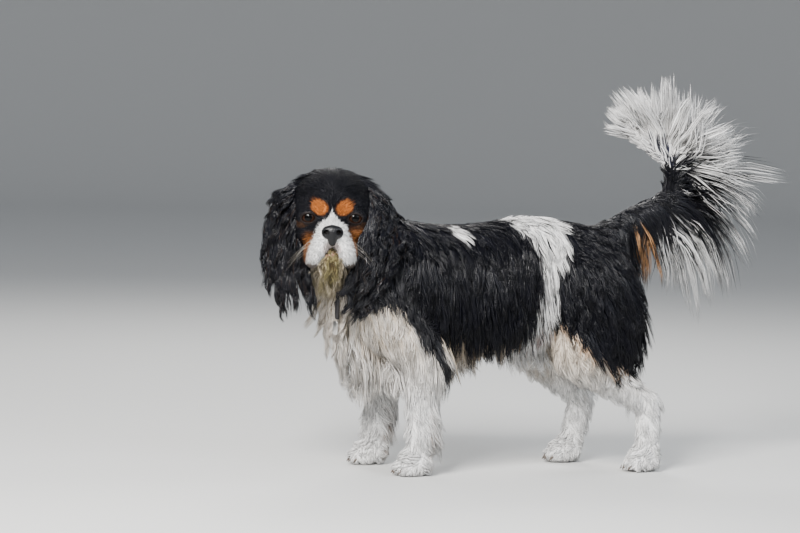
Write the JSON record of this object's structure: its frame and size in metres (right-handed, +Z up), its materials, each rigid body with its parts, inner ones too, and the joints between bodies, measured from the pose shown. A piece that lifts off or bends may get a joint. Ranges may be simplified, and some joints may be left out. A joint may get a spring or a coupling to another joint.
{
  "type": "cavalier king charles spaniel",
  "caption": "Life-size still model of a long-coated toy spaniel standing with its head turned to its left and its plumed tail raised.",
  "frame": {"origin": "middle of the bounding box at floor level", "axes": "+Z up, -Y the way the body faces, +X the dog's left side"},
  "size_m": [0.2166, 0.6944, 0.5052],
  "materials": {
    "eye": "wet gloss",
    "nose_skin": "moist satin",
    "horn": "satin",
    "collar_strap": "satin",
    "tag_metal": "brushed",
    "black_coat": "long wet hair",
    "white_coat": "long wet hair"
  },
  "bodies": {
    "root": {"claw_fore_left_1": "horn", "claw_fore_left_2": "horn", "claw_fore_left_3": "horn", "claw_fore_left_4": "horn", "claw_fore_right_1": "horn", "claw_fore_right_2": "horn", "claw_fore_right_3": "horn", "claw_fore_right_4": "horn", "claw_hind_left_1": "horn", "claw_hind_left_2": "horn", "claw_hind_left_3": "horn", "claw_hind_left_4": "horn", "claw_hind_right_1": "horn", "claw_hind_right_2": "horn", "claw_hind_right_3": "horn", "claw_hind_right_4": "horn", "collar": "collar_strap", "collar_strap_end": "collar_strap", "collar_tag": "tag_metal", "ear_left": "black_coat", "ear_right": "black_coat", "eye_left": "eye", "eye_right": "eye", "fore_leg_left": "white_coat", "fore_leg_right": "white_coat", "fore_paw_left": "white_coat", "fore_paw_right": "white_coat", "head": "black_coat", "hind_foot_left": "white_coat", "hind_foot_right": "white_coat", "lower_jaw": "white_coat", "neck": "white_coat", "nose": "nose_skin", "shank_left": "white_coat", "shank_right": "white_coat", "tail_base": "black_coat", "tail_middle": "black_coat", "tail_tip": "white_coat", "thigh_left": "black_coat", "thigh_right": "black_coat", "torso": "black_coat"}
  },
  "joints": []
}
